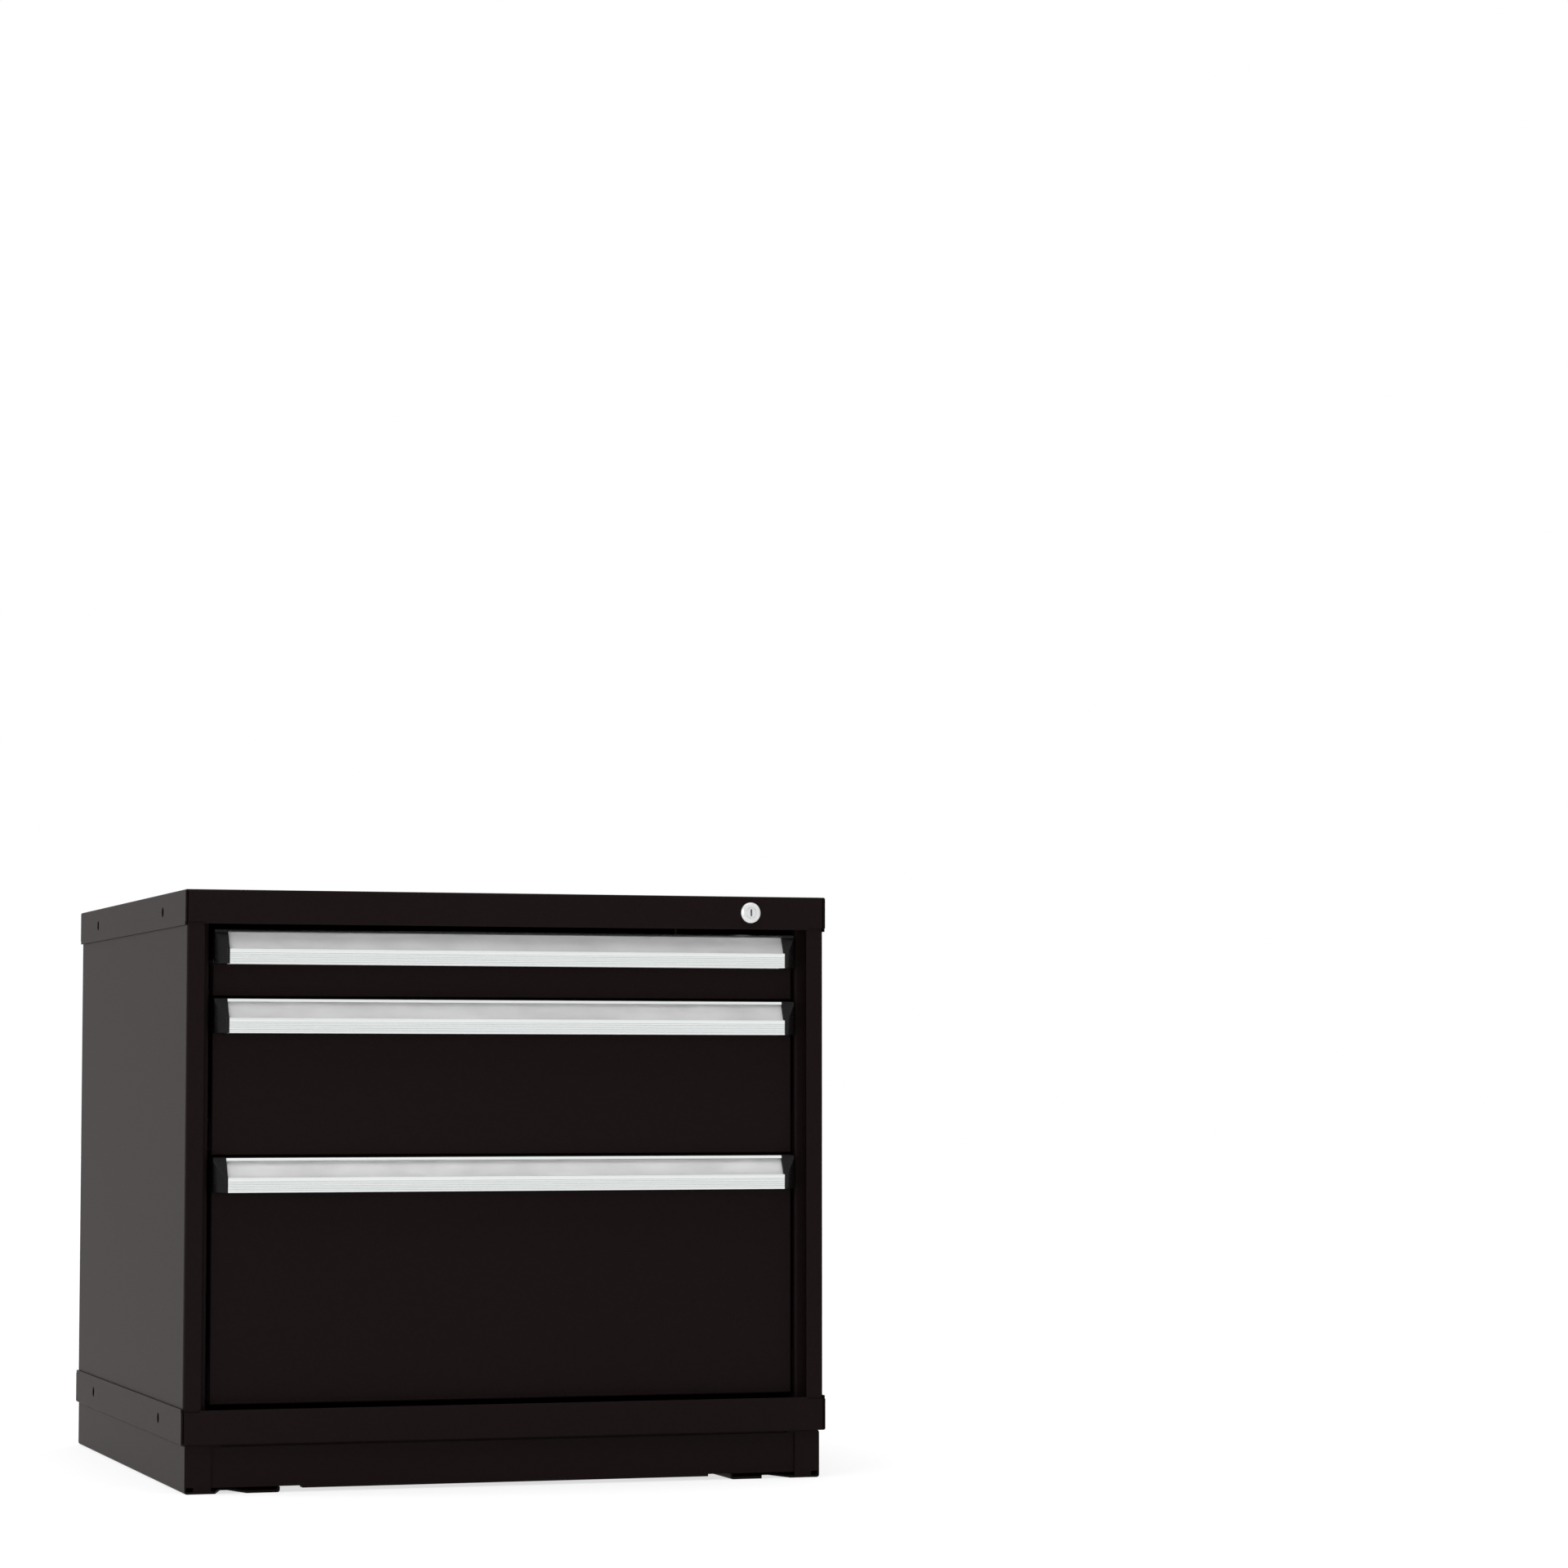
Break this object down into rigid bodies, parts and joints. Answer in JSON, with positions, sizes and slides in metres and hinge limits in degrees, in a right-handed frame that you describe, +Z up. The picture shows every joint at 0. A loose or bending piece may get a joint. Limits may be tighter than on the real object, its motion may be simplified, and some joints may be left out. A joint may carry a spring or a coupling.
{
  "type": "drawer cabinet",
  "caption": "Floor-standing steel drawer cabinet on a channel base, with full-width aluminium label handles, roller slides and a cam lock that bars the drawers.",
  "frame": {"origin": "bottom centre of the overall box, on the floor", "axes": "+X to the cabinet's right as seen from the front, +Y to its back, +Z up; the drawers open towards -Y"},
  "size_m": [0.762, 0.761, 0.68],
  "materials": {
    "black_powder_coat": "fine textured semi-matte black powder coat",
    "anodised_aluminium": "satin anodised extrusion with fine lengthwise lines",
    "moulded_cap": "moulded black plastic with a fine grain",
    "label_card": "blank white card",
    "clear_strip": "clear flexible plastic strip",
    "bright_lock": "bright plated",
    "zinc_plated_steel": "zinc plated",
    "nylon_roller": "natural nylon",
    "guide_plastic": "moulded black plastic"
  },
  "bodies": {
    "cabinet": {"top_cover": "black_powder_coat", "bottom_tray": "black_powder_coat", "left_side_panel": "black_powder_coat", "right_side_panel": "black_powder_coat", "back_panel": "black_powder_coat", "front_left_upright": "black_powder_coat", "front_right_upright": "black_powder_coat", "rear_left_upright": "black_powder_coat", "rear_right_upright": "black_powder_coat", "base_left_channel": "black_powder_coat", "base_right_channel": "black_powder_coat", "base_front_cover": "black_powder_coat", "base_rear_cover": "black_powder_coat", "base_bolts": "zinc_plated_steel", "lock_barrel": "bright_lock", "lock_nut": "zinc_plated_steel", "lock_bar_guides": "guide_plastic", "drawer_1_cabinet_rails": "zinc_plated_steel", "drawer_2_cabinet_rails": "zinc_plated_steel", "drawer_3_cabinet_rails": "zinc_plated_steel"},
    "lock_core": {"lock_plug": "bright_lock", "lock_cam": "zinc_plated_steel"},
    "lock_bar": {"lock_bar": "zinc_plated_steel"},
    "drawer_1": {"drawer_1_tray": "black_powder_coat", "drawer_1_front": "black_powder_coat", "drawer_1_handle": "anodised_aluminium", "drawer_1_label_card": "label_card", "drawer_1_label_cover": "clear_strip", "drawer_1_left_end_cap": "moulded_cap", "drawer_1_right_end_cap": "moulded_cap", "drawer_1_runners": "zinc_plated_steel"},
    "drawer_1_carriage": {"drawer_1_carriage_bars": "zinc_plated_steel"},
    "drawer_1_front_rollers": {"drawer_1_front_rollers": "nylon_roller"},
    "drawer_1_middle_rollers": {"drawer_1_middle_rollers": "nylon_roller"},
    "drawer_1_rear_rollers": {"drawer_1_rear_rollers": "nylon_roller"},
    "drawer_2": {"drawer_2_tray": "black_powder_coat", "drawer_2_front": "black_powder_coat", "drawer_2_handle": "anodised_aluminium", "drawer_2_label_card": "label_card", "drawer_2_label_cover": "clear_strip", "drawer_2_left_end_cap": "moulded_cap", "drawer_2_right_end_cap": "moulded_cap", "drawer_2_runners": "zinc_plated_steel"},
    "drawer_2_carriage": {"drawer_2_carriage_bars": "zinc_plated_steel"},
    "drawer_2_front_rollers": {"drawer_2_front_rollers": "nylon_roller"},
    "drawer_2_middle_rollers": {"drawer_2_middle_rollers": "nylon_roller"},
    "drawer_2_rear_rollers": {"drawer_2_rear_rollers": "nylon_roller"},
    "drawer_3": {"drawer_3_tray": "black_powder_coat", "drawer_3_front": "black_powder_coat", "drawer_3_handle": "anodised_aluminium", "drawer_3_label_card": "label_card", "drawer_3_label_cover": "clear_strip", "drawer_3_left_end_cap": "moulded_cap", "drawer_3_right_end_cap": "moulded_cap", "drawer_3_runners": "zinc_plated_steel"},
    "drawer_3_carriage": {"drawer_3_carriage_bars": "zinc_plated_steel"},
    "drawer_3_front_rollers": {"drawer_3_front_rollers": "nylon_roller"},
    "drawer_3_middle_rollers": {"drawer_3_middle_rollers": "nylon_roller"},
    "drawer_3_rear_rollers": {"drawer_3_rear_rollers": "nylon_roller"}
  },
  "joints": [
    {"name": "lock_turn", "type": "hinge", "parent": "cabinet", "child": "lock_core", "pos_m": [0.288, -0.3755, 0.6607], "axis": [0, 1, 0], "range_deg": [0, 90]},
    {"name": "lock_bar_lift", "type": "slide", "parent": "cabinet", "child": "lock_bar", "axis": [0, 0, 1], "range_m": [0, 0.01414]},
    {"name": "drawer_1_slide", "type": "slide", "parent": "cabinet", "child": "drawer_1", "axis": [0, -1, 0], "range_m": [0, 0.62]},
    {"name": "drawer_1_carriage_slide", "type": "slide", "parent": "cabinet", "child": "drawer_1_carriage", "axis": [0, -1, 0], "range_m": [0, 0.31]},
    {"name": "drawer_1_front_rollers_spin", "type": "hinge", "parent": "drawer_1_carriage", "child": "drawer_1_front_rollers", "pos_m": [0, -0.3055, 0.5826], "axis": [1, 0, 0], "range_deg": [0, 1132]},
    {"name": "drawer_1_middle_rollers_spin", "type": "hinge", "parent": "drawer_1_carriage", "child": "drawer_1_middle_rollers", "pos_m": [0, 0.0055, 0.5826], "axis": [1, 0, 0], "range_deg": [0, 1132]},
    {"name": "drawer_1_rear_rollers_spin", "type": "hinge", "parent": "drawer_1_carriage", "child": "drawer_1_rear_rollers", "pos_m": [0, 0.3255, 0.5826], "axis": [1, 0, 0], "range_deg": [0, 1132]},
    {"name": "drawer_2_slide", "type": "slide", "parent": "cabinet", "child": "drawer_2", "axis": [0, -1, 0], "range_m": [0, 0.62]},
    {"name": "drawer_2_carriage_slide", "type": "slide", "parent": "cabinet", "child": "drawer_2_carriage", "axis": [0, -1, 0], "range_m": [0, 0.31]},
    {"name": "drawer_2_front_rollers_spin", "type": "hinge", "parent": "drawer_2_carriage", "child": "drawer_2_front_rollers", "pos_m": [0, -0.3055, 0.4023], "axis": [1, 0, 0], "range_deg": [0, 1132]},
    {"name": "drawer_2_middle_rollers_spin", "type": "hinge", "parent": "drawer_2_carriage", "child": "drawer_2_middle_rollers", "pos_m": [0, 0.0055, 0.4023], "axis": [1, 0, 0], "range_deg": [0, 1132]},
    {"name": "drawer_2_rear_rollers_spin", "type": "hinge", "parent": "drawer_2_carriage", "child": "drawer_2_rear_rollers", "pos_m": [0, 0.3255, 0.4023], "axis": [1, 0, 0], "range_deg": [0, 1132]},
    {"name": "drawer_3_slide", "type": "slide", "parent": "cabinet", "child": "drawer_3", "axis": [0, -1, 0], "range_m": [0, 0.62]},
    {"name": "drawer_3_carriage_slide", "type": "slide", "parent": "cabinet", "child": "drawer_3_carriage", "axis": [0, -1, 0], "range_m": [0, 0.31]},
    {"name": "drawer_3_front_rollers_spin", "type": "hinge", "parent": "drawer_3_carriage", "child": "drawer_3_front_rollers", "pos_m": [0, -0.3055, 0.121], "axis": [1, 0, 0], "range_deg": [0, 1132]},
    {"name": "drawer_3_middle_rollers_spin", "type": "hinge", "parent": "drawer_3_carriage", "child": "drawer_3_middle_rollers", "pos_m": [0, 0.0055, 0.121], "axis": [1, 0, 0], "range_deg": [0, 1132]},
    {"name": "drawer_3_rear_rollers_spin", "type": "hinge", "parent": "drawer_3_carriage", "child": "drawer_3_rear_rollers", "pos_m": [0, 0.3255, 0.121], "axis": [1, 0, 0], "range_deg": [0, 1132]}
  ],
  "couplings": [
    {"joint": "lock_turn", "follows": "lock_bar_lift", "rad_per_m": 111.07},
    {"joint": "drawer_1_carriage_slide", "follows": "drawer_1_slide", "ratio": 0.5},
    {"joint": "drawer_1_front_rollers_spin", "follows": "drawer_1_slide", "rad_per_m": 31.847},
    {"joint": "drawer_1_middle_rollers_spin", "follows": "drawer_1_slide", "rad_per_m": 31.847},
    {"joint": "drawer_1_rear_rollers_spin", "follows": "drawer_1_slide", "rad_per_m": 31.847},
    {"joint": "drawer_2_carriage_slide", "follows": "drawer_2_slide", "ratio": 0.5},
    {"joint": "drawer_2_front_rollers_spin", "follows": "drawer_2_slide", "rad_per_m": 31.847},
    {"joint": "drawer_2_middle_rollers_spin", "follows": "drawer_2_slide", "rad_per_m": 31.847},
    {"joint": "drawer_2_rear_rollers_spin", "follows": "drawer_2_slide", "rad_per_m": 31.847},
    {"joint": "drawer_3_carriage_slide", "follows": "drawer_3_slide", "ratio": 0.5},
    {"joint": "drawer_3_front_rollers_spin", "follows": "drawer_3_slide", "rad_per_m": 31.847},
    {"joint": "drawer_3_middle_rollers_spin", "follows": "drawer_3_slide", "rad_per_m": 31.847},
    {"joint": "drawer_3_rear_rollers_spin", "follows": "drawer_3_slide", "rad_per_m": 31.847}
  ]
}
